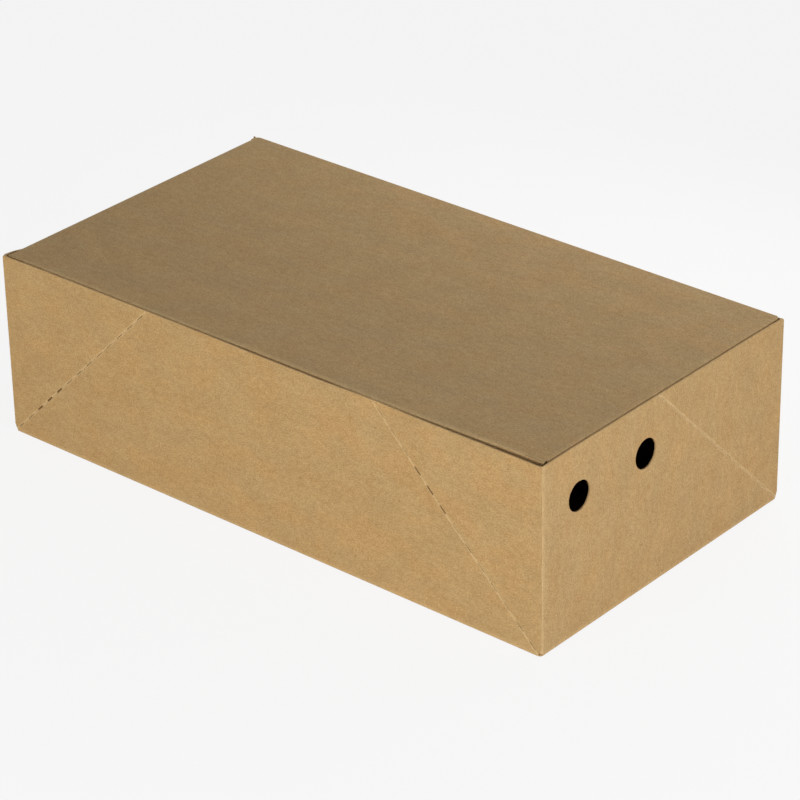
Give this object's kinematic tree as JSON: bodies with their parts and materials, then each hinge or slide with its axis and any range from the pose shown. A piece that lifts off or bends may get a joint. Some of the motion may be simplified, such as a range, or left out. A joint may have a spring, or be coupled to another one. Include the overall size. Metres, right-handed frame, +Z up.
{
  "type": "cardboard tray box",
  "caption": "Long kraft card carton: a glued tray with a tuck-in hinged lid, round vent holes in one end wall and perforated diagonal creases that let it fold flat.",
  "frame": {"origin": "centre of the base's outline, on its underside, where the carton stands", "axes": "+Z up, +X along the length towards the end wall with the vent holes, +Y from the front wall to the back wall with the lid's hinge"},
  "size_m": [0.275, 0.15, 0.08],
  "materials": {
    "kraft_board": "matte"
  },
  "bodies": {
    "tray": {"tray": "kraft_board"},
    "lid": {"lid": "kraft_board"}
  },
  "joints": [
    {"name": "lid_hinge", "type": "hinge", "parent": "tray", "child": "lid", "pos_m": [0, 0.0747, 0.0797], "axis": [-1, 0, 0], "range_deg": [0, 180]}
  ]
}
